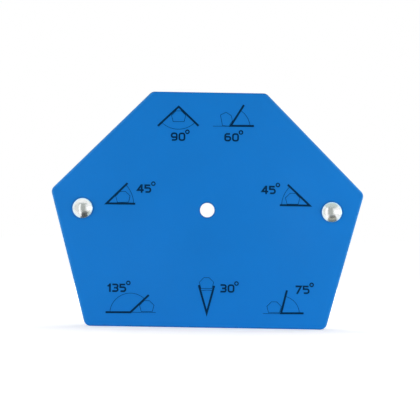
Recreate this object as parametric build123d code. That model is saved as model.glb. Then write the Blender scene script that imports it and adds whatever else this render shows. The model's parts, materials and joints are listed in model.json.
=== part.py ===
from build123d import *
import os
from math import atan2, cos, degrees, floor, radians, sin, tan

# Six-angle magnetic welding holder. Two steel plates are riveted over a moulded plastic frame
# that carries seven ferrite blocks along the working edges.
# The holder is drawn lying on its back, front face up (+Z), with its base edge on the X axis,
# and every piece is stood up on the base edge as it is written: front to -Y, +Z up.

# Plate outline, between sharp corners
base_length = 102.5
side_length = 60.0  # each of the four sloping sides
lower_slope = 75.0  # degrees, the two lower sides from the base
upper_slope = 45.0  # degrees, the two upper sides from the horizontal
corner_radius = 3.0

# Plates
plate_thickness = 2.0
edge_round = 0.4  # on the outer rim of each plate
hang_hole = 6.2  # diameter
hang_hole_chamfer = 0.3  # on its outer rim

# Rivets and the tubes that the plates close on
rivet_inset = 13.6  # from the side corner to the rivet, across the holder
rivet_shank = 5.0  # diameter
rivet_head = 8.75  # diameter
rivet_head_height = 2.2
rivet_head_land = 0.4  # straight edge under the dome
rivet_clearance = 0.1  # around the shank, in plates and sleeves
sleeve_wall = 1.4
bush_wall = 1.6
tube_clearance = 0.1  # around each tube, in its boss

# Spacer frame
core_thickness = 10.0  # between the plates: frame, magnets and tubes alike
core_recess = 1.5  # from the plates' edge to the frame's edge
rim_wall = 1.8
pocket_wall = 1.6
boss_wall = 1.7
rib_thickness = 1.6
web_thickness = 2.4  # the floor between the front and back cells
cell_corner = 1.0  # inside radius of the cells between the spokes
smallest_cell = 12.0  # square millimetres; a smaller hollow at a corner is left solid

# Magnets
magnet_height = 12.0  # from the working edge into the holder
magnet_lip = 1.2  # plastic in front of each end of a magnet
magnet_lip_overlap = 2.0  # how far that lip reaches along the magnet
magnet_chamfer = 0.5
magnet_clearance = 0.15  # around a magnet in its pocket


def outline_corners():
    # counter-clockwise from the right end of the base, as seen from the front
    base_x = base_length / 2
    tip_x = base_x + side_length * cos(radians(lower_slope))
    tip_y = side_length * sin(radians(lower_slope))
    top_x = tip_x - side_length * cos(radians(upper_slope))
    top_y = tip_y + side_length * sin(radians(upper_slope))
    right = [(base_x, 0), (tip_x, tip_y), (top_x, top_y)]
    return right + [(-x, y) for x, y in reversed(right)]


base_right, tip_right, top_right, top_left, tip_left, base_left = outline_corners()
centre = (0, top_right[1] / 2)
rivet_places = {
    "left": (tip_left[0] + rivet_inset, centre[1]),
    "right": (tip_right[0] - rivet_inset, centre[1]),
}
sleeve_bore = rivet_shank + 2 * rivet_clearance
sleeve_outside = sleeve_bore + 2 * sleeve_wall
bush_outside = hang_hole + 2 * bush_wall
magnet_face = core_recess + magnet_lip  # from the working edge to the block
pocket_back = magnet_face + magnet_height + magnet_clearance


def side_frame(start, end):
    # a frame on one side of the outline: x runs along the side, y into the holder
    turn = degrees(atan2(end[1] - start[1], end[0] - start[0]))
    return Pos(*start) * Rot(0, 0, turn)


def corner_room(corner_angle):
    # length of side that the pockets leave free at a corner, so that their walls just meet
    return (pocket_back + pocket_wall / 2) / tan(radians(corner_angle / 2))


def boss_reach(start, end, place):
    # where a rivet boss begins and ends along a side
    boss = sleeve_outside / 2 + tube_clearance + boss_wall
    along = (side_frame(start, end).inverse() * Pos(*place)).position.X
    return along - boss, along + boss


def magnet_rooms():
    # for the right half and the top: side, and the stretch of it that is free for a magnet
    base_room = corner_room(180 - lower_slope)
    tip_room = corner_room(lower_slope + upper_slope)
    top_room = corner_room(180 - upper_slope)
    lower_end = boss_reach(base_right, tip_right, rivet_places["right"])[0]
    upper_start = boss_reach(tip_right, top_right, rivet_places["right"])[1]
    return {
        "base": (base_left, base_right, base_length / 2 + rib_thickness / 2, base_length - base_room),
        "lower": (base_right, tip_right, base_room, min(lower_end, side_length - tip_room)),
        "upper": (tip_right, top_right, max(upper_start, tip_room), side_length - top_room),
        "top": (top_right, top_left, top_room, 2 * top_right[0] - top_room),
    }


def magnet_places():
    # the frame at the middle of each magnet's working face, and the length that all blocks share
    places = {}
    for name, (start, end, free_from, free_to) in magnet_rooms().items():
        place = side_frame(start, end) * Pos((free_from + free_to) / 2, magnet_face)
        if name == "top":
            places[name] = place
            continue
        middle = place.position
        places[name + "_right"] = place
        places[name + "_left"] = Pos(-middle.X, middle.Y) * Rot(0, 0, -place.orientation.Z)
    shortest = min(free_to - free_from for _, _, free_from, free_to in magnet_rooms().values())
    return places, floor(shortest - 2 * magnet_clearance)


magnet_frames, magnet_length = magnet_places()


def plate_outline():
    return fillet(make_face(Polyline(*outline_corners(), close=True)).vertices(), corner_radius)


def plate():
    # lies on the core with its outer face up
    blank = extrude(plate_outline(), plate_thickness)
    blank = fillet(blank.faces().sort_by(Axis.Z)[-1].edges(), edge_round)
    holes = Pos(*centre) * Cylinder(hang_hole / 2, 4 * plate_thickness)
    for place in rivet_places.values():
        holes += Pos(*place) * Cylinder(sleeve_bore / 2, 4 * plate_thickness)
    pierced = blank - holes
    rims = pierced.faces().sort_by(Axis.Z)[-1].edges()
    hang_rim = rims.sort_by_distance(Vector(*centre, plate_thickness))[0]
    return Pos(0, 0, core_thickness / 2) * chamfer(hang_rim, hang_hole_chamfer)


def magnet(frame):
    block = Box(magnet_length, magnet_height, core_thickness)
    block = chamfer(block.edges(), magnet_chamfer)
    return frame * Pos(0, magnet_height / 2) * block


def tube(place, bore, outside):
    return Pos(*place) * (Cylinder(outside / 2, core_thickness) - Cylinder(bore / 2, core_thickness))


def rivets():
    # one round head on each plate, drawn as a half section and turned
    grip = core_thickness / 2 + plate_thickness
    rim = grip + rivet_head_land
    top = grip + rivet_head_height
    dome = rivet_head_height - rivet_head_land
    dome_radius = (rivet_head**2 / 4 + dome**2) / (2 * dome)
    section = Line((0, top), (0, 0))
    section += Line((0, 0), (rivet_shank / 2, 0))
    section += Line((rivet_shank / 2, 0), (rivet_shank / 2, grip))
    section += Line((rivet_shank / 2, grip), (rivet_head / 2, grip))
    section += Line((rivet_head / 2, grip), (rivet_head / 2, rim))
    section += RadiusArc((rivet_head / 2, rim), (0, top), -dome_radius)
    half = revolve(Plane.XZ * make_face(section), Axis.Z)
    rivet = half + mirror(half, about=Plane.XY)
    return Compound([Pos(*place) * rivet for place in rivet_places.values()])


def pocket(frame, grow=0.0):
    # the opening that a magnet lies in, or the block of plastic around it
    length = magnet_length + 2 * (magnet_clearance + grow)
    height = magnet_height + 2 * (magnet_clearance + grow)
    return frame * Pos(0, magnet_height / 2) * Rectangle(length, height)


def pocket_mouth(frame):
    # the window through the rim; a lip stays in front of each end of the magnet
    length = magnet_length - 2 * magnet_lip_overlap
    return frame * Pos(0, -magnet_face / 2) * Rectangle(length, magnet_face + 2 * magnet_clearance)


def rib(start, end):
    return trace(Line(start, end), rib_thickness)


def frame_outline():
    return offset(plate_outline(), -core_recess)


def bosses():
    # the plastic around each tube
    around = Pos(*centre) * Circle(bush_outside / 2 + tube_clearance + boss_wall)
    for place in rivet_places.values():
        around += Pos(*place) * Circle(sleeve_outside / 2 + tube_clearance + boss_wall)
    return around


def spoke_cells():
    # the large hollows between the spokes, inside the ring that backs the pockets
    spokes = rib(rivet_places["left"], rivet_places["right"])
    spokes += rib(base_left, centre) + rib(centre, base_right)
    spokes += rib(top_left, centre) + rib(centre, top_right)
    ring = offset(plate_outline(), -(pocket_back + rib_thickness))
    hollows = (ring - spokes - bosses()).faces()
    return [offset(offset(hollow, -cell_corner), cell_corner) for hollow in hollows]


def corner_cells():
    # the small hollows between the ends of the pockets, inside the rim
    band = offset(frame_outline(), -rim_wall) - offset(plate_outline(), -pocket_back) - bosses()
    for frame in magnet_frames.values():
        band -= pocket(frame, grow=pocket_wall)
    return [hollow for hollow in band.faces() if hollow.area > smallest_cell]


def frame_openings():
    # what goes right through: bores for the tubes, magnet pockets and their mouths
    openings = Pos(*centre) * Circle(bush_outside / 2 + tube_clearance)
    for place in rivet_places.values():
        openings += Pos(*place) * Circle(sleeve_outside / 2 + tube_clearance)
    for frame in magnet_frames.values():
        openings += pocket(frame)
        openings += pocket_mouth(frame)
    return openings


def spacer_frame():
    walls = frame_outline()
    for cell in spoke_cells() + corner_cells():
        walls -= cell
    body = extrude(walls, core_thickness / 2, both=True)
    body += extrude(frame_outline(), web_thickness / 2, both=True)
    return body - extrude(frame_openings(), core_thickness, both=True)


pieces = {
    "front_plate": plate(),
    "back_plate": mirror(plate(), about=Plane.XY),
    "spacer_frame": spacer_frame(),
    "centre_bush": tube(centre, hang_hole, bush_outside),
    "rivets": rivets(),
}
for side, place in rivet_places.items():
    pieces["rivet_sleeve_" + side] = tube(place, sleeve_bore, sleeve_outside)
for name, frame in magnet_frames.items():
    pieces["magnet_" + name] = magnet(frame)

os.makedirs("parts", exist_ok=True)
for name, piece in pieces.items():
    export_step(Rot(90, 0, 0) * piece, "parts/" + name + ".step")
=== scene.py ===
import json
from math import asin, atan2, ceil, cos, degrees, pi, radians, sin, sqrt, tan

import bmesh
import bpy
from mathutils import Matrix, Vector


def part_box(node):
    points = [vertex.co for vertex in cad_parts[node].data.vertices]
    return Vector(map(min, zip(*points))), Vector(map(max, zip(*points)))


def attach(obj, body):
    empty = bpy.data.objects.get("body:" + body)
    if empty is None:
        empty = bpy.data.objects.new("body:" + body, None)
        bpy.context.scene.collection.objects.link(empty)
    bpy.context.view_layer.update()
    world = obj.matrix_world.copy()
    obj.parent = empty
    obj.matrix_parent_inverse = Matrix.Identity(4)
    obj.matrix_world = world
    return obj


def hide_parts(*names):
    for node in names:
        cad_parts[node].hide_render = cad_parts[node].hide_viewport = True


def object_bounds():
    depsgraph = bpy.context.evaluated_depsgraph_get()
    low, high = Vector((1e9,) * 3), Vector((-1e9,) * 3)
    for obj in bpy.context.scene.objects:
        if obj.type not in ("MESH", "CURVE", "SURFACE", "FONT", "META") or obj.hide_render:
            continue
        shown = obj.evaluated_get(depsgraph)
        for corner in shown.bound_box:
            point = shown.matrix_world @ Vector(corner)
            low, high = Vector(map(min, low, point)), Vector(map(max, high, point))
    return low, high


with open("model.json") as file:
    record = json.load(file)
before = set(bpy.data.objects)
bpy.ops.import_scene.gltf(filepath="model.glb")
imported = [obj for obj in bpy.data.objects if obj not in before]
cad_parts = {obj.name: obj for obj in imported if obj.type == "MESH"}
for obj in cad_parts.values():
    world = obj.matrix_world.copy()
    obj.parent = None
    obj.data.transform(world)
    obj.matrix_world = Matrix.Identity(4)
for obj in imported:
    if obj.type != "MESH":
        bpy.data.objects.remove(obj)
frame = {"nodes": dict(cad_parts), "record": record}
bpy.context.view_layer.update()
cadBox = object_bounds()
record = frame["record"]
mounts = {mount["name"]: mount for mount in record["mounts"]}
slotColours = {material["slot"]: material["base_color"] for material in record["materials"]}
print("frame loaded:", len(frame["nodes"]), "nodes")

mm = 0.001
mergeDistance = 0.001 * mm
hangHole = Vector(mounts["hang_hole"]["pos_m"])
hangHoleRadius = mounts["hang_hole"]["dims"]["r_mm"] * mm
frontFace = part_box("front_plate")[0].y
rivetLow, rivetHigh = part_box("rivets")
rivetRadius = (rivetHigh.z - rivetLow.z) / 2
rivetPlace = Vector((rivetHigh.x - rivetRadius, 0, (rivetHigh.z + rivetLow.z) / 2))  # the right one


# Shader maths

class Flow:
    # a value on its way through a node tree; sums and products of flows add their own Math nodes
    def __init__(self, bench, socket):
        self.bench, self.socket = bench, socket

    def math(self, operation, *values):
        return self.bench.add("Math", {"operation": operation}, dict(enumerate(values)))

    def __add__(self, other):
        return self.math("ADD", self, other)

    def __radd__(self, other):
        return self.math("ADD", other, self)

    def __sub__(self, other):
        return self.math("SUBTRACT", self, other)

    def __rsub__(self, other):
        return self.math("SUBTRACT", other, self)

    def __mul__(self, other):
        return self.math("MULTIPLY", self, other)

    def __rmul__(self, other):
        return self.math("MULTIPLY", other, self)

    def __abs__(self):
        return self.math("ABSOLUTE", self)

    def root(self):
        return self.math("SQRT", self)

    def least(self, other):
        return self.math("MINIMUM", self, other)

    def between(self, low, high):
        # 0 at low and 1 at high, held at both ends
        return self.bench.add("MapRange", {"clamp": True}, {0: self, 1: low, 2: high})

    def output(self, name):
        return Flow(self.bench, self.socket.node.outputs[name])


class Bench:
    # adds nodes to the tree of a material or of the world
    def __init__(self, owner):
        owner.use_nodes = True
        self.owner, self.tree = owner, owner.node_tree

    def add(self, kind, settings=None, values=None, out=0):
        node = self.tree.nodes.new("ShaderNode" + kind)
        for name, value in (settings or {}).items():
            setattr(node, name, value)
        self.feed(node, values or {})
        return Flow(self, node.outputs[out])

    def feed(self, node, values):
        for name, value in values.items():
            if isinstance(value, Flow):
                self.tree.links.new(value.socket, node.inputs[name])
            else:
                node.inputs[name].default_value = value

    def noise(self, where, size, detail=2.0):
        values = {"Vector": where, "Scale": 1 / size, "Detail": detail, "Roughness": 0.55}
        return self.add("TexNoise", {}, values)

    def drawnOut(self, where, scale, turn=0):
        # squeezes a pattern's coordinates, so that it is drawn out along the axes with a small scale
        return self.add("Mapping", {}, {"Vector": where, "Scale": scale, "Rotation": (0, radians(turn), 0)})

    def blend(self, factor, first, second):
        return self.add("Mix", {"data_type": "RGBA"}, {0: factor, 6: first, 7: second}, out=2)

    def bump(self, height, depth, under=None):
        values = {"Height": height, "Distance": depth, "Strength": 1.0}
        if under:
            values["Normal"] = under
        return self.add("Bump", {}, values)


def tinted(colour, gain=1.0):
    return (*[gain * channel for channel in colour], 1.0)


def newSurface(name, fixed):
    # fixed holds what is the same all over, set on the shader's own sockets
    bench = Bench(bpy.data.materials.new(name))
    shader = bench.tree.nodes["Principled BSDF"]
    bench.feed(shader, fixed)
    return bench, shader, bench.add("TexCoord", out="Object")


# Blue powder coat: orange peel, a finer skin and a little cloudiness. Along the four sloping sides, which the
# work is laid against, a painted highlight lightens the edge; painted shade darkens the coat along the base
# and round each hole

powder = {
    "colour": (0.0010, 0.160, 0.528),
    "cloudSize": 26 * mm,
    "fleckSize": 0.22 * mm,
    "peelSize": 1.3 * mm,
    "peelDepth": 0.022 * mm,
    "skinSize": 0.28 * mm,
    "skinDepth": 0.004 * mm,
    "handledSize": 5 * mm,
    "unevenSize": 2.4 * mm,
    # width and colour of the painted highlight along the four sloping edges
    "paintedHighlightWidth": 0.95 * mm,
    "paintedHighlightColour": (0.047, 0.25, 0.575),
    # width and colour of the painted shade along the base and round the hang hole and rivets
    "paintedShadeWidth": 0.9 * mm,
    "paintedShadeColour": (0.0008, 0.085, 0.31),
}
slopingEdges = [f"{part}_edge_{side}" for part in ("lower", "upper") for side in ("left", "right")]


def outFrom(bench, where, place, radius):
    # distance from the rim of a round thing on the face, and of its twin on the other side of the middle
    across = bench.add("SeparateXYZ", {}, {0: where}, out="X")
    aside, above = abs(across) - place.x, across.output("Z") - place.z
    return (aside * aside + above * above).root() - radius


def inFrom(bench, where, edges):
    # distance from the nearest of these working edges
    nearest = None
    for edge in edges:
        axis = Vector(mounts[edge]["axis"])
        along = bench.add("VectorMath", {"operation": "DOT_PRODUCT"}, {0: where, 1: axis}, out="Value")
        distance = axis.dot(Vector(mounts[edge]["pos_m"])) - along
        nearest = nearest.least(distance) if nearest else distance
    return nearest


def bluePowderCoat():
    bench, shader, where = newSurface("bluePowderCoat", {"Specular IOR Level": 0.15, "Metallic": 0.0})
    cloud = bench.noise(where, powder["cloudSize"], 1.0)
    fleck = bench.noise(where, powder["fleckSize"], 1.0)
    tone = 0.65 * cloud.between(0.3, 0.7) + 0.35 * fleck.between(0.25, 0.75)
    paint = bench.blend(tone, tinted(powder["colour"], 0.965), tinted(powder["colour"], 1.035))
    uneven = bench.noise(where, powder["unevenSize"], 3.0).between(0.1, 0.6)
    # painted shade: a darker line along the base and round the hang hole and the rivets, which is also a
    # little less rough
    nearest = inFrom(bench, where, ["base_edge"])
    nearest = nearest.least(outFrom(bench, where, hangHole, hangHoleRadius))
    nearest = nearest.least(outFrom(bench, where, rivetPlace, rivetRadius))
    paintedShade = uneven * (1 - nearest.between(0, powder["paintedShadeWidth"]))
    paint = bench.blend(0.7 * paintedShade, paint, tinted(powder["paintedShadeColour"]))
    # painted highlight: the four sloping edges are lightened as if they caught the light
    inside = inFrom(bench, where, slopingEdges)
    paintedHighlight = (0.6 + 0.4 * uneven) * (1 - inside.between(0, powder["paintedHighlightWidth"]))
    paint = bench.blend(paintedHighlight, paint, tinted(powder["paintedHighlightColour"]))
    peel = bench.noise(where, powder["peelSize"])
    skin = bench.noise(where, powder["skinSize"])
    wiped = bench.drawnOut(where, (0.35, 1, 1.6), 28)
    handled = bench.noise(wiped, powder["handledSize"], 4.0).between(0.3, 0.75)
    roughness = 0.40 + 0.10 * handled + 0.05 * skin - 0.08 * paintedShade
    normal = bench.bump(skin, powder["skinDepth"], bench.bump(peel, powder["peelDepth"]))
    bench.feed(shader, {"Base Color": paint, "Roughness": roughness, "Normal": normal})
    return bench.owner


# Moulded plastic: spark-eroded skin, flow clouds, a parting line round the middle of the rim, a little dust

plastic = {
    "colour": slotColours["frame_plastic"],
    "flowSize": 14 * mm,
    "sparkSize": 0.16 * mm,
    "sparkDepth": 0.010 * mm,
    "partingWidth": 0.09 * mm,
    "partingDepth": 0.05 * mm,
    "dustSize": 0.7 * mm,
    "dustColour": (0.12, 0.12, 0.12),
}


def mouldedPlastic():
    bench, shader, where = newSurface("mouldedPlastic", {"Specular IOR Level": 0.45, "Metallic": 0.0})
    flow = bench.noise(bench.drawnOut(where, (1, 1, 0.4)), plastic["flowSize"], 3.0)
    spark = bench.noise(where, plastic["sparkSize"], 3.0)
    dark, light = tinted(plastic["colour"], 0.85), tinted(plastic["colour"], 1.5)
    paint = bench.blend(flow.between(0.3, 0.7), dark, light)
    dust = bench.noise(where, plastic["dustSize"], 4.0).between(0.66, 0.8)
    paint = bench.blend(0.25 * dust, paint, tinted(plastic["dustColour"]))
    offMiddle = abs(bench.add("SeparateXYZ", {}, {0: where}, out="Y"))
    seam = 1 - offMiddle.between(0.4 * plastic["partingWidth"], plastic["partingWidth"])
    roughness = 0.52 + 0.16 * flow + 0.10 * spark - 0.12 * seam
    normal = bench.bump(spark, plastic["sparkDepth"], bench.bump(seam, plastic["partingDepth"]))
    bench.feed(shader, {"Base Color": paint, "Roughness": roughness, "Normal": normal})
    return bench.owner


# Sintered ferrite: dark grey grain, ground along the block, with small pits that also carry painted shade

ferrite = {
    "colour": slotColours["ferrite"],
    "grainSize": 0.12 * mm,
    "cloudSize": 7 * mm,
    "grindPitch": 0.18 * mm,
    "pitSize": 0.8 * mm,
    "depth": 0.02 * mm,
}


def sinteredFerrite():
    bench, shader, where = newSurface("sinteredFerrite", {"Specular IOR Level": 0.5, "Metallic": 0.0})
    grain = bench.noise(where, ferrite["grainSize"], 3.0)
    cloud = bench.noise(where, ferrite["cloudSize"], 3.0)
    grind = bench.noise(bench.drawnOut(where, (0.05, 1, 0.05)), ferrite["grindPitch"])
    pitsAndShade = bench.noise(where, ferrite["pitSize"], 3.0).between(0.68, 0.76)
    tone = (0.5 * grain + 0.5 * cloud).between(0.3, 0.7)
    paint = bench.blend(tone, tinted(ferrite["colour"], 0.7), tinted(ferrite["colour"], 1.35))
    # painted shade: the pits are darkened as if shade fell in them, on top of their real hollow in the bump
    paint = bench.blend(0.6 * pitsAndShade, paint, tinted(ferrite["colour"], 0.35))
    roughness = 0.62 - 0.14 * grind + 0.15 * pitsAndShade
    normal = bench.bump(0.35 * grain + 0.65 * grind - 1.2 * pitsAndShade, ferrite["depth"])
    bench.feed(shader, {"Base Color": paint, "Roughness": roughness, "Normal": normal})
    return bench.owner


# Plated rivet steel: bright, rippled by the setting tool, with faint turned rings and, at the rim, a painted
# reflection of the blue coat round it

plated = {
    "colour": (0.88, 0.90, 0.90),
    "rippleSize": 1.5 * mm,
    "rippleDepth": 0.030 * mm,
    "wornSize": 0.9 * mm,
    "ringPitch": 0.10 * mm,
    "ringDepth": 0.0015 * mm,
    # width and colour of the painted reflection of the blue coat at the rim
    "paintedRimReflectionWidth": 0.9 * mm,
    "paintedRimReflectionColour": (0.65, 0.92, 1.0),
}


def platedRivet():
    bench, shader, where = newSurface("platedRivet", {"Metallic": 1.0})
    radius = outFrom(bench, where, rivetPlace, 0)
    rings = bench.noise(bench.add("CombineXYZ", {}, {0: radius}), plated["ringPitch"], 3.0)
    ripple = bench.noise(where, plated["rippleSize"])
    worn = bench.noise(where, plated["wornSize"], 4.0).between(0.45, 0.75)
    paint = bench.blend(worn, tinted(plated["colour"]), tinted(plated["colour"], 0.9))
    # painted reflection: the rim is tinted cyan-blue as if it mirrored the coat round the rivet
    inward = rivetRadius - radius
    paint = bench.blend(inward.between(0, plated["paintedRimReflectionWidth"]), tinted(plated["paintedRimReflectionColour"]), paint)
    roughness = 0.17 + 0.06 * worn + 0.05 * rings
    normal = bench.bump(rings, plated["ringDepth"], bench.bump(ripple, plated["rippleDepth"]))
    bench.feed(shader, {"Base Color": paint, "Roughness": roughness, "Normal": normal})
    return bench.owner


# Drawn steel tube: zinc grey, with draw lines along the bore

tube = {
    "colour": slotColours["tube_steel"],
    "drawPitch": 0.14 * mm,
    "drawDepth": 0.006 * mm,
    "stainSize": 2.2 * mm,
}


def drawnTube():
    bench, shader, where = newSurface("drawnTube", {"Metallic": 1.0})
    drawn = bench.noise(bench.drawnOut(where, (1, 0.04, 1)), tube["drawPitch"], 3.0)
    stain = bench.noise(where, tube["stainSize"], 4.0)
    paint = bench.blend(stain.between(0.35, 0.7), tinted(tube["colour"], 0.85), tinted(tube["colour"], 1.15))
    roughness = 0.28 + 0.18 * stain + 0.08 * drawn
    normal = bench.bump(drawn, tube["drawDepth"])
    bench.feed(shader, {"Base Color": paint, "Roughness": roughness, "Normal": normal})
    return bench.owner


# Printing ink: blue-black, a little uneven, with pinholes where the coat grins through

ink = {
    "colour": (0.0006, 0.0195, 0.0560),
    "thickness": 0.030 * mm,
    "sunk": 0.010 * mm,  # below the face, so that no light comes in under it
    "mottleSize": 0.5 * mm,
    "mottleDepth": 0.006 * mm,
    "pinholeSize": 0.12 * mm,
}


def padPrintInk():
    bench, shader, where = newSurface("padPrintInk", {"Specular IOR Level": 0.03, "Metallic": 0.0})
    mottle = bench.noise(where, ink["mottleSize"], 3.0)
    pinholes = bench.noise(where, ink["pinholeSize"]).between(0.62, 0.8)
    paint = bench.blend(mottle.between(0.3, 0.7), tinted(ink["colour"], 0.8), tinted(ink["colour"], 1.25))
    paint = bench.blend(0.25 * pinholes, paint, tinted(powder["colour"], 0.3))
    roughness = 0.45 + 0.12 * mottle
    normal = bench.bump(mottle, ink["mottleDepth"])
    bench.feed(shader, {"Base Color": paint, "Roughness": roughness, "Normal": normal})
    return bench.owner


print("mixing the finishes")
powderCoat, ferriteSkin, tubeSteel = bluePowderCoat(), sinteredFerrite(), drawnTube()
finishes = {
    "front_plate": powderCoat,
    "back_plate": powderCoat,
    "spacer_frame": mouldedPlastic(),
    "centre_bush": tubeSteel,
    "rivet_sleeve_left": tubeSteel,
    "rivet_sleeve_right": tubeSteel,
}
for name, node in frame["nodes"].items():
    finish = ferriteSkin if name.startswith("magnet_") else finishes.get(name)
    if finish:
        node.material_slots[0].material = finish


def newPiece(name, mesh, finish):
    mesh.materials.clear()
    mesh.materials.append(finish)
    piece = bpy.data.objects.new(name, mesh)
    bpy.context.scene.collection.objects.link(piece)
    return piece


# Rivets: half a section is drawn, turned about the rivet's axis and mirrored for the other head

rivet = {
    "shank": 2.5 * mm,  # radius
    "land": 0.4 * mm,  # straight edge under the dome
    "rimRound": 0.16 * mm,
    "rimSteps": 4,
    "domeSteps": 24,
    "turnSteps": 144,
    "sharpFrom": 50,  # degrees between faces
}


def rivetMesh(name):
    # drawn upright on Z, so that the pole of the head is the highest point
    bm = bmesh.new()
    top, grip = rivetHigh.y, -frontFace
    rim = grip + rivet["land"]
    domeRadius = (rivetRadius**2 + (top - rim) ** 2) / (2 * (top - rim))
    pole = bm.verts.new((0, 0, top))
    dome = bmesh.ops.spin(
        bm, geom=[pole], cent=(0, 0, top - domeRadius), axis=(0, 1, 0),
        angle=asin(rivetRadius / domeRadius), steps=rivet["domeSteps"],
    )
    end = [part for part in dome["geom_last"] if isinstance(part, bmesh.types.BMVert)][0]
    for step in ((0, 0, grip - rim), (rivet["shank"] - rivetRadius, 0, 0), (0, 0, -grip)):
        end = bmesh.ops.extrude_vert_indiv(bm, verts=[end])["verts"][0]
        bmesh.ops.translate(bm, verts=[end], vec=step)
    bmesh.ops.spin(
        bm, geom=bm.verts[:] + bm.edges[:], cent=(0, 0, 0), axis=(0, 0, 1),
        angle=2 * pi, steps=rivet["turnSteps"], use_merge=True,
    )
    bmesh.ops.remove_doubles(bm, verts=bm.verts, dist=mergeDistance)
    rimEdges = [edge for edge in bm.edges if all(abs(vert.co.z - rim) < mergeDistance for vert in edge.verts)]
    bmesh.ops.bevel(
        bm, geom=rimEdges, affect="EDGES", offset=rivet["rimRound"], segments=rivet["rimSteps"],
        profile=0.5, material=-1,
    )
    bmesh.ops.mirror(bm, geom=bm.verts[:] + bm.edges[:] + bm.faces[:], axis="Z", merge_dist=mergeDistance)
    bmesh.ops.remove_doubles(bm, verts=bm.verts, dist=mergeDistance)
    bmesh.ops.recalc_face_normals(bm, faces=bm.faces)
    bmesh.ops.rotate(bm, verts=bm.verts, cent=(0, 0, 0), matrix=Matrix.Rotation(pi / 2, 3, "X"))
    mesh = bpy.data.meshes.new(name)
    bm.to_mesh(mesh)
    bm.free()
    mesh.shade_smooth()
    mesh.set_sharp_from_angle(angle=radians(rivet["sharpFrom"]))
    return mesh


print("setting the rivets")
rivetSteel = platedRivet()
for name, side in (("rivetLeft", -1), ("rivetRight", 1)):
    piece = newPiece(name, rivetMesh(name), rivetSteel)
    piece.data.transform(Matrix.Translation((side * rivetPlace.x, 0, rivetPlace.z)))
    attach(piece, "root")
    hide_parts("rivets")


# Printed marks: bands of ink, drawn flat in millimetres round the hang hole, then stood up on the face

bandWidths = {"thick": 0.86, "thin": 0.21}
curve = {
    "step": 9,  # degrees
    "wideStep": 4,  # of a curve with more than the wide radius
    "wideRadius": 3,
}


class Pen:
    # draws a band of even width, run by run; headings are in degrees, and turns to the left are positive
    def __init__(self, width, place, heading):
        self.bm, self.width, self.slack = bmesh.new(), width, 0.0
        self.place, self.heading = Vector((*place, 0)), heading
        ends = [self.bm.verts.new(self.place + side * width / 2 * self.left()) for side in (1, -1)]
        self.edge = self.bm.edges.new(ends)

    def turned(self, vector, angle):
        return Matrix.Rotation(radians(angle), 3, "Z") @ Vector(vector)

    def ahead(self):
        return self.turned((1, 0, 0), self.heading)

    def left(self):
        return self.turned((0, 1, 0), self.heading)

    def run(self, length, corner=0):
        # corner is a sharp turn at the far end, where the band is cut on the mitre
        slack = tan(radians(corner) / 2) * self.width / 2
        grown = bmesh.ops.extrude_edge_only(self.bm, edges=[self.edge])["geom"]
        self.edge = [part for part in grown if isinstance(part, bmesh.types.BMEdge)][0]
        for vert in self.edge.verts:
            side = 1 if (vert.co - self.place).dot(self.left()) > 0 else -1
            reach = length - side * (self.slack + slack)
            bmesh.ops.translate(self.bm, verts=[vert], vec=reach * self.ahead())
        self.place += length * self.ahead()
        self.heading, self.slack = self.heading + corner, slack

    def bend(self, turn, radius):
        centre = self.place + (radius if turn > 0 else -radius) * self.left()
        step = curve["wideStep"] if radius > curve["wideRadius"] else curve["step"]
        spun = bmesh.ops.spin(
            self.bm, geom=[*self.edge.verts, self.edge], cent=centre, axis=(0, 0, 1),
            angle=radians(turn), steps=ceil(abs(turn) / step),
        )
        self.edge = [part for part in spun["geom_last"] if isinstance(part, bmesh.types.BMEdge)][0]
        self.place = centre + self.turned(self.place - centre, turn)
        self.heading += turn

    def lift(self):
        # closes the band, gives it the ink's thickness above zero and lets go of the pen
        bmesh.ops.remove_doubles(self.bm, verts=self.bm.verts, dist=mergeDistance / mm)
        bmesh.ops.recalc_face_normals(self.bm, faces=self.bm.faces)
        bmesh.ops.solidify(self.bm, geom=self.bm.faces[:], thickness=ink["thickness"] / mm)
        bmesh.ops.recalc_face_normals(self.bm, faces=self.bm.faces)
        lowest = min(vert.co.z for vert in self.bm.verts)
        bmesh.ops.translate(self.bm, verts=self.bm.verts, vec=(0, 0, -lowest))
        mesh = bpy.data.meshes.new("band")
        self.bm.to_mesh(mesh)
        self.bm.free()
        return mesh


def band(width, place, heading, *moves):
    # a move of one or two numbers is a run with its corner, and ("bend", turn, radius) is a curve
    pen = Pen(width, place, heading)
    for move in moves:
        if move[0] == "bend":
            pen.bend(*move[1:])
        else:
            pen.run(*move)
    return pen.lift()


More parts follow.
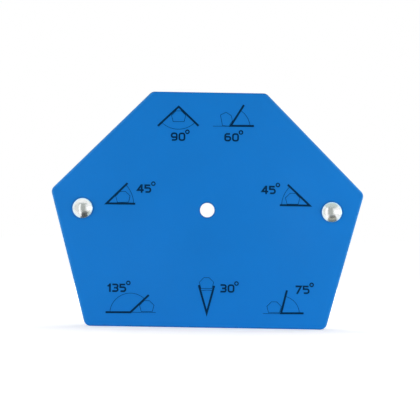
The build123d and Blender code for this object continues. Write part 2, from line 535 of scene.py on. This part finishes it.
# Numerals: centre lines of the strokes, each as place, heading and moves
numeral = {
    "stroke": 0.74,
    "wide": 2.2,
    "high": 2.85,
    "gap": 1.1,
    "ring": 0.725,  # degree ring: radius, stroke, and its place past the top of the last numeral
    "ringStroke": 0.54,
    "ringPlace": (1.2, 0.73),
}
hook = [(1.25,), ("bend", 90, 0.8), (1.25,), ("bend", 90, 0.8), (0.6,), ("bend", 90, 0.8), (0.1,)]
bowl = [(0.15,), ("bend", 90, 0.7), (1.5,)]
numeralStrokes = {
    "0": [((1.1, 0), 0, [
        (0.3,), ("bend", 90, 0.8), (1.25,), ("bend", 90, 0.8), (0.6,),
        ("bend", 90, 0.8), (1.25,), ("bend", 90, 0.8), (0.3,),
    ])],
    "1": [((0.95, -0.4), 90, [(3.65,)]), ((-0.05, 2.0), 38, [(1.2,)])],
    "3": [
        ((-0.1, 2.85), 0, [(1.59,), ("bend", -90, 0.71), ("bend", -90, 0.71), (0.9,)]),
        ((-0.1, 0), 0, [(1.59,), ("bend", 90, 0.71), ("bend", 90, 0.71), (0.1,)]),
    ],
    "4": [((1.65, 3.0), 234.8, [(2.75, 125.2), (2.6,)]), ((1.75, -0.4), 90, [(3.65,)])],
    "5": [((2.1, 2.85), 180, [
        (2.1, 90), (1.13, 90), (1.4,), ("bend", -90, 0.8), (0.12,), ("bend", -90, 0.8), (1.3,),
    ])],
    "6": [((2.05, 2.85), 180, hook), ((2.2, 0.8), 90, bowl)],
    "7": [((-0.15, 2.85), 0, [(2.35, -118), (3.65,)])],
    "9": [((0.15, 0), 0, hook), ((0, 2.05), 270, bowl)],
}
numeralWidths = {"1": 0.95}


def label(text, place):
    # text centred on its place, with a degree ring at its upper right
    widths = [numeralWidths.get(letter, numeral["wide"]) for letter in text]
    x = place[0] - (sum(widths) + numeral["gap"] * (len(text) - 1)) / 2
    z = place[1] - numeral["high"] / 2
    bands = []
    for letter, width in zip(text, widths):
        for start, heading, moves in numeralStrokes[letter]:
            bands.append(band(numeral["stroke"], (x + start[0], z + start[1]), heading, *moves))
        x += width + numeral["gap"]
    ringX = x - numeral["gap"] + numeral["ringPlace"][0]
    ringZ = z + numeral["high"] + numeral["ringPlace"][1] - numeral["ring"]
    bands.append(band(numeral["ringStroke"], (ringX, ringZ), 0, ("bend", 360, numeral["ring"])))
    return bands


# Each mark: two arms that meet at a vertex, an arc between them, a small outline of the holder against
# the arms, and for some a line that carries one arm on past the vertex. All places are from the hang hole.
# An arc has a radius and the place of its centre from the vertex; a line has a heading, a length and a drop.
marks = {
    "mark90": {
        "vertex": (-12.9, 43.9), "arms": ((223.7, 12.1), (317, 11.8)), "arc": (10.05, (-0.1, 0.45)),
        "holder": (0.0455, (-12.8, 37.55), 1.1), "label": ("90", (-12.95, 31.1)),
    },
    "mark60": {
        "vertex": (9.45, 36.1), "arms": ((0.45, 9.9), (58.6, 10.5)), "arc": (9.15, (-0.85, -1.1)),
        "beyond": (180.45, 7.6, 0.2), "holder": (0.045, (5.45, 38.4), -78.4), "label": ("60", (9.9, 31.2)),
    },
    "mark45Left": {
        "vertex": (-43, 2.15), "arms": ((0.35, 12.3), (44.8, 12.5)), "arc": (11.35, (0.2, -0.1)),
        "holder": (0.046, (-35.95, 2.75), 2.3), "label": ("45", (-27.1, 8.75)),
    },
    "mark45Right": {
        "vertex": (43.65, 2.65), "arms": ((137.2, 12.9), (180.15, 12.75)), "arc": (11.95, (-0.05, -0.45)),
        "holder": (0.046, (36.35, 3.15), -0.3), "label": ("45", (26, 9.05)),
    },
    "mark135": {
        "vertex": (-32.05, -44.1), "arms": ((44, 10.8), (180.7, 10.6)), "arc": (8.75, (0, -0.6)),
        "beyond": (0.5, 10.85, 0), "holder": (0.046, (-25.05, -43.65), 1.1),
        "label": ("135", (-38.1, -33.75)),
    },
    "mark30": {
        "vertex": (0.5, -43.9), "arms": ((75.6, 12.1), (106.7, 12.4)), "arc": (9.9, (0.2, -0.1)),
        "holder": (0.046, (0.25, -33.4), 1.2), "label": ("30", (9.05, -33.25)),
    },
    "mark75": {
        "vertex": (32.2, -43.45), "arms": ((0.7, 9.65), (76.5, 10.1)), "arc": (7.75, (0.1, -0.4)),
        "beyond": (180.4, 7.75, 0.2), "holder": (0.046, (29.2, -43.25), 0.2), "label": ("75", (41.1, -33.3)),
    },
}


def out(place, heading, length):
    return (place[0] + length * cos(radians(heading)), place[1] + length * sin(radians(heading)))


def holderOutline(scale, place, turn):
    # round the outline from the middle of its base, in the sizes that the working edges give
    lower, upper = (Vector(mounts[name + "_edge_right"]["pos_m"]) for name in ("lower", "upper"))
    slope, rise = 75, 45  # of the lower and upper sides, which meet at the tip
    tip = 180 - slope - rise
    side = 2 * lower.z / sin(radians(slope)) / mm * scale
    base = (lower.x / mm * scale - side * cos(radians(slope)) / 2) * 2
    top = (upper.x / mm * scale - side * cos(radians(rise)) / 2) * 2
    rightHalf = [(base / 2, slope), (side, tip), (side, rise)]
    leftHalf = [(top, rise), (side, tip), (side, slope), (base / 2,)]
    return band(bandWidths["thin"], place, turn, *rightHalf, *leftHalf)


def whereArcMeets(heading, radius, centre):
    # an arm leaves the vertex on its heading; the angle round the arc's centre at which it crosses the arc
    along = Vector(out((0, 0), heading, 1))
    reach = along.dot(centre) + sqrt(radius**2 - centre.length_squared + along.dot(centre) ** 2)
    across = reach * along - centre
    return degrees(atan2(across.y, across.x)) % 360


def markBands(mark):
    vertex, thin = mark["vertex"], bandWidths["thin"]
    (firstHeading, firstLength), (secondHeading, secondLength) = mark["arms"]
    corner = secondHeading - firstHeading - 180
    armEnd = out(vertex, firstHeading, firstLength)
    bands = [band(bandWidths["thick"], armEnd, firstHeading + 180, (firstLength, corner), (secondLength,))]
    radius, centre = mark["arc"][0], Vector(mark["arc"][1])
    start, end = (whereArcMeets(heading, radius, centre) for heading in (firstHeading, secondHeading))
    arcStart = out(Vector(vertex) + centre, start, radius)
    bands.append(band(thin, arcStart, start + 90, ("bend", end - start, radius)))
    if "beyond" in mark:
        heading, length, drop = mark["beyond"]
        bands.append(band(thin, (vertex[0], vertex[1] - drop), heading, (length,)))
    bands.append(holderOutline(*mark["holder"]))
    return bands + label(*mark["label"])


def united(name, meshes):
    # joins bands that cross into one skin
    scene = bpy.context.scene
    others = bpy.data.collections.new(name)
    scene.collection.children.link(others)
    first, *rest = [bpy.data.objects.new("band", mesh) for mesh in meshes]
    scene.collection.objects.link(first)
    for part in rest:
        others.objects.link(part)
    union = first.modifiers.new("union", "BOOLEAN")
    union.operation, union.operand_type, union.solver = "UNION", "COLLECTION", "EXACT"
    union.collection = others
    mesh = bpy.data.meshes.new_from_object(first.evaluated_get(bpy.context.evaluated_depsgraph_get()))
    for part in (first, *rest):
        bpy.data.objects.remove(part)
    for part in meshes:
        bpy.data.meshes.remove(part)
    bpy.data.collections.remove(others)
    mesh.name = name
    return mesh


print("printing the marks")
inkSkin = padPrintInk()
onFace = Matrix.Translation((hangHole.x, frontFace + ink["sunk"], hangHole.z))
for name, mark in marks.items():
    piece = newPiece(name, united(name, markBands(mark)), inkSkin)
    piece.data.transform(onFace @ Matrix.Rotation(pi / 2, 4, "X") @ Matrix.Scale(mm, 4))
    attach(piece, "root")


# Floor, lamps and backdrop colour

stage = {
    "floorSize": 4.0,
    "floorColour": (0.82, 0.82, 0.82, 1),
    "glowNear": (0.42, 0.42, 0.42, 1),  # what the eye sees on top of the lit floor, near by and far off
    "glowFar": (0.81, 0.81, 0.81, 1),
    "glowReach": (0.10, 0.42),
    "bounce": (0.3, 0.3, 0.3, 1),  # light off the floor close by, that the foot of the face catches
    "bounceReach": (0.03, 0.08),
    "ambient": 0.25,
    "lamps": {  # place, width, height, and light that it adds to the painted face
        "rightSoftbox": ((0.32, -0.17, 0.055), 0.40, 0.11, 0.38),
        "leftSoftbox": ((-0.32, -0.17, 0.055), 0.40, 0.11, 0.305),
        "frontSoftbox": ((0.0, -0.45, 0.60), 0.60, 0.30, 0.03),
        "topSoftbox": ((0.0, 0.30, 0.60), 0.60, 0.40, 0.22),
        "backSoftbox": ((0.1, 0.70, 0.20), 0.90, 0.60, 0.45),
    },
    "clothSize": (0.44, 0.14),  # of the right softbox as the metal shows it, softer than the lamp is
    "clothColour": (1.5, 1.5, 1.5),
}


def seenDirectly(bench):
    # 1 for rays that show a thing, by eye, in a gloss or through glass, and 0 for rays that only light
    rays = bench.add("LightPath", out="Is Camera Ray")
    return rays + rays.output("Is Glossy Ray") + rays.output("Is Transmission Ray")


def stagePiece(name, bm, finish):
    bmesh.ops.recalc_face_normals(bm, faces=bm.faces)
    mesh = bpy.data.meshes.new(name)
    bm.to_mesh(mesh)
    bm.free()
    piece = newPiece(name, mesh, finish)
    return piece


def floorFinish():
    bench, shader, where = newSurface("paleFloor", {"Specular IOR Level": 0.0, "Roughness": 0.9})
    away = bench.add("VectorMath", {"operation": "LENGTH"}, {0: where}, out="Value")
    glow = bench.blend(away.between(*stage["glowReach"]), stage["glowNear"], stage["glowFar"])
    offLine = abs(bench.add("SeparateXYZ", {}, {0: where}, out="Y"))
    bounce = bench.blend(offLine.between(*stage["bounceReach"]), stage["bounce"], (0, 0, 0, 1))
    glow = bench.blend(seenDirectly(bench), bounce, glow)
    bench.feed(shader, {"Base Color": stage["floorColour"], "Emission Color": glow, "Emission Strength": 1.0})
    return bench.owner


def onlyInMetal(piece):
    piece.visible_camera = piece.visible_diffuse = piece.visible_shadow = False
    piece.visible_transmission = piece.visible_volume_scatter = False


print("setting the stage")
floorShape = bmesh.new()
bmesh.ops.create_grid(floorShape, x_segments=1, y_segments=1, size=stage["floorSize"])
floor = stagePiece("floor", floorShape, floorFinish())
floor.visible_glossy = False  # the metal shows the backdrop's white in its place


# Cards that show in the rivets and nowhere else. Each has its place on Y, its colours low down and high up,
# the heights where the one turns into the other, and its sheets: the ends of foot and head on X, and their
# heights. Some stand behind the holder as well. Those with a side are measured from the rivet on that side.
farPlace = -0.46
nearPlace = frontFace - 16 * mm
cards = {
    "stand": {
        "place": farPlace, "behind": True,
        "colours": ((0.095, 0.10, 0.10), (0.43, 0.45, 0.43)), "shade": (-0.34, -0.10),
        "sheets": [((-3.8, 9.5), (-0.08, 0.28), -15.0, -0.12), ((-0.21, 0.15), (-0.22, 0.14), -0.12, 0.34)],
    },
    "bar": {
        "place": farPlace, "behind": True, "colours": ((0.42, 0.47, 0.45),) * 2,
        "sheets": [((-0.36, 0.36), (-0.36, 0.36), 0.34, 0.46)],
    },
    "panel": {
        "place": farPlace, "colours": ((0.78, 0.79, 0.77),) * 2,
        "sheets": [((-1.2, -0.27), (-1.2, -0.27), -0.25, 0.55)],
    },
    "strip": {
        "place": -0.16, "behind": True, "colours": ((1.3, 1.3, 1.3),) * 2,
        "sheets": [((-0.138, -0.098), (-0.138, -0.098), -0.30, 0.15)],
    },
    "tray": {
        "place": nearPlace, "side": 1,
        "colours": ((0.17, 0.19, 0.19), (0.48, 0.47, 0.39)), "shade": (-0.050, -0.020),
        "sheets": [((-0.084, 0.105), (-0.011, 0.013), -0.200, -0.0175)],
    },
    "slip": {
        "place": nearPlace, "side": 1, "colours": ((1.3, 1.27, 1.3),) * 2,
        "sheets": [((-0.018, -0.0118), (-0.018, -0.0118), -0.019, 0.016)],
    },
    "hood": {
        "place": nearPlace, "side": 1, "colours": ((0.60, 0.68, 0.65),) * 2,
        "sheets": [((-0.018, 0.016), (-0.085, 0.070), 0.015, 0.078)],
    },
    "slate": {
        "place": nearPlace, "side": -1, "colours": ((0.53, 0.59, 0.55),) * 2,
        "sheets": [((0.024, 0.050), (0.0165, 0.032), -0.040, -0.0115)],
    },
}


def cardFinish(name, colours, low=0, high=1):
    # shows its own colour and takes no light
    bench, shader, where = newSurface(name, {"Specular IOR Level": 0.0, "Base Color": (0, 0, 0, 1)})
    height = bench.add("SeparateXYZ", {}, {0: where}, out="Z").between(low, high)
    colour = bench.blend(height, *[tinted(colour) for colour in colours])
    bench.feed(shader, {"Emission Color": colour, "Emission Strength": 1.0})
    return bench.owner


def standCard(name, place, colours, sheets, shade=(0, 1), side=0, behind=False):
    origin = Vector((side * rivetPlace.x, place, abs(side) * rivetPlace.z))
    bm = bmesh.new()
    for bottom, top, foot, head in sheets:
        for vert in bmesh.ops.create_grid(bm, x_segments=1, y_segments=1, size=0.5)["verts"]:
            (left, right), height = (bottom, foot) if vert.co.y < 0 else (top, head)
            vert.co = origin + Vector((left if vert.co.x < 0 else right, 0, height))
    if behind:
        bmesh.ops.mirror(bm, geom=bm.verts[:] + bm.edges[:] + bm.faces[:], axis="Y")
    low, high = (origin.z + height for height in shade)
    onlyInMetal(stagePiece(name, bm, cardFinish(name + "Cloth", colours, low, high)))


print("standing the cards")
for name, item in cards.items():
    standCard(name, **item)

world = bpy.data.worlds.new("studio")
bpy.context.scene.world = world
sky = Bench(world)
sky.feed(sky.tree.nodes["Background"], {
    "Color": (1, 1, 1, 1),
    "Strength": stage["ambient"] + (1 - stage["ambient"]) * seenDirectly(sky),
})

middle = Vector((0, frontFace, (cadBox[0][2] + cadBox[1][2]) / 2))
aimed = {}
for name, (place, width, height, light) in stage["lamps"].items():
    lamp = bpy.data.lights.new(name, "AREA")
    lamp.shape, lamp.size, lamp.size_y = "RECTANGLE", width, height
    away = middle - Vector(place)
    # the power that gives the face this much light from so far off and at such a slant
    lamp.energy = pi * pi * away.length_squared * light / abs(away.normalized().y)
    aimed[name] = Matrix.Translation(place) @ away.to_track_quat("-Z", "Y").to_matrix().to_4x4()
    holder = bpy.data.objects.new(name, lamp)
    holder.matrix_world = aimed[name]
    holder.visible_glossy = False
    bpy.context.scene.collection.objects.link(holder)

clothShape = bmesh.new()
spread = aimed["rightSoftbox"] @ Matrix.Diagonal((*stage["clothSize"], 1, 1))
bmesh.ops.create_grid(clothShape, x_segments=1, y_segments=1, size=0.5, matrix=spread)
onlyInMetal(stagePiece("softboxCloth", clothShape, cardFinish("softboxCloth", (stage["clothColour"],) * 2)))

view = {
    "distance": 1.4,  # from the painted face
    "across": 179.1 * mm,  # width of the picture, on the painted face
    "aside": (1.19 * mm, 0.07 * mm),
    "roll": 0.95,
}
lens = bpy.data.cameras.new("camera")
lens.lens = lens.sensor_width * view["distance"] / view["across"]
camera = bpy.data.objects.new("camera", lens)
place = middle + Vector((view["aside"][0], -view["distance"], view["aside"][1]))
level = Matrix.Translation(place) @ Matrix.Rotation(pi / 2, 4, "X")
camera.matrix_world = level @ Matrix.Rotation(radians(view["roll"]), 4, "Z")
bpy.context.scene.collection.objects.link(camera)
bpy.context.scene.camera = camera
bpy.context.scene.view_settings.view_transform = "Standard"

bpy.context.view_layer.update()
